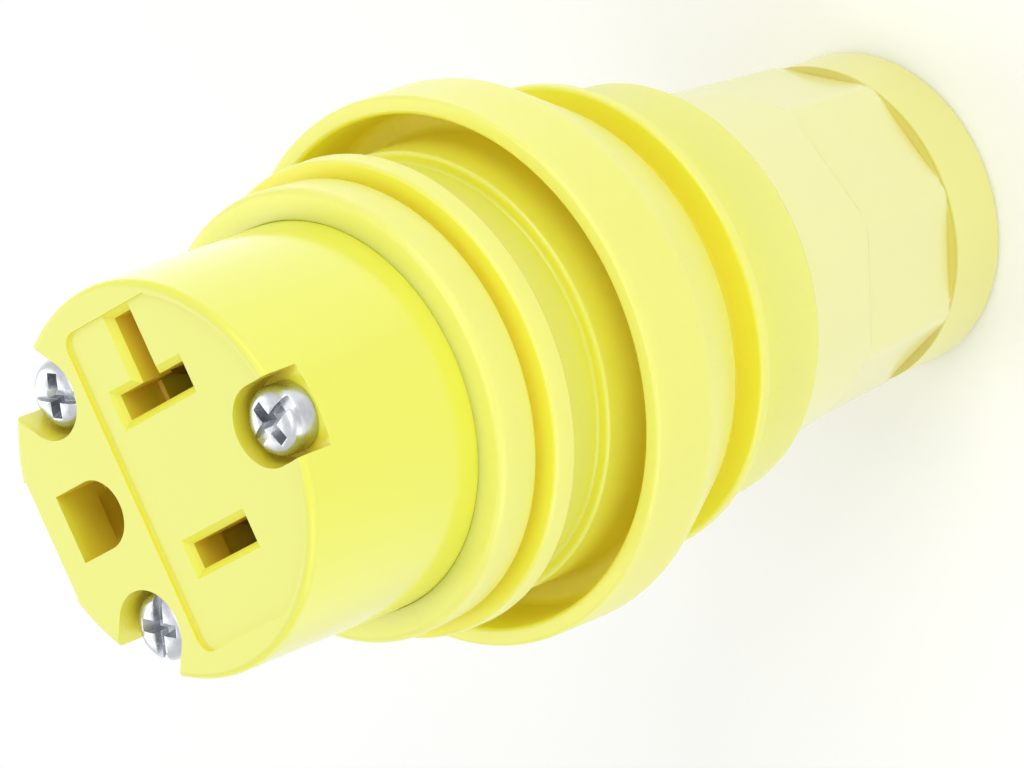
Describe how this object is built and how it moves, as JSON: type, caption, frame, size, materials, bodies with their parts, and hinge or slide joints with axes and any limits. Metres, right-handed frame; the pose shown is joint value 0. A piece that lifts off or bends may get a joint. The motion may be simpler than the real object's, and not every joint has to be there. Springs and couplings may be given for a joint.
{
  "type": "watertight cord connector",
  "caption": "Watertight female cord connector with a ribbed rubber boot and skirt, blade and ground openings in its face, and a compression nut that grips the cord.",
  "frame": {"origin": "centre of the compression nut's end ring, on the surface that the part stands on", "axes": "+Z along the connector's axis towards the receptacle face, +X towards the T-shaped neutral opening, +Y towards the ground opening"},
  "size_m": [0.0452, 0.0452, 0.0854],
  "materials": {
    "face_nylon": "moulded, satin gloss",
    "housing_nylon": "moulded",
    "boot_elastomer": "smooth moulded",
    "nut_nylon": "moulded, satin",
    "retainer_thermoset": "matt",
    "washer_acetal": "smooth",
    "black_rubber": "matt",
    "zinc_steel": "bright zinc plate",
    "nickel": "nickel plate",
    "green_steel": "green passivated",
    "brass": "bright rolled strip"
  },
  "bodies": {
    "nut": {"compression_nut": "nut_nylon"},
    "gland": {"slip_washer": "washer_acetal", "cord_grommet": "black_rubber"},
    "connector": {"face_body": "face_nylon", "contact_retainer": "retainer_thermoset", "face_gasket": "black_rubber", "rear_housing": "housing_nylon", "sealing_boot": "boot_elastomer", "assembly_screws": "zinc_steel", "threaded_inserts": "brass", "hot_contact": "brass", "neutral_contact": "brass", "ground_contact": "brass", "hot_clamp": "zinc_steel", "neutral_clamp": "zinc_steel", "ground_clamp": "zinc_steel", "hot_terminal_screw": "brass", "neutral_terminal_screw": "nickel", "ground_terminal_screw": "green_steel"}
  },
  "joints": [
    {"name": "nut_turn", "type": "hinge", "parent": "nut", "child": "gland", "pos_m": [0, 0, 0], "axis": [0, 0, 1], "range_deg": [0, 1440]},
    {"name": "nut_travel", "type": "slide", "parent": "gland", "child": "connector", "axis": [0, 0, 1], "range_m": [0, 0.0081]}
  ],
  "couplings": [
    {"joint": "nut_travel", "follows": "nut_turn", "m_per_rad": 0.00031831}
  ]
}
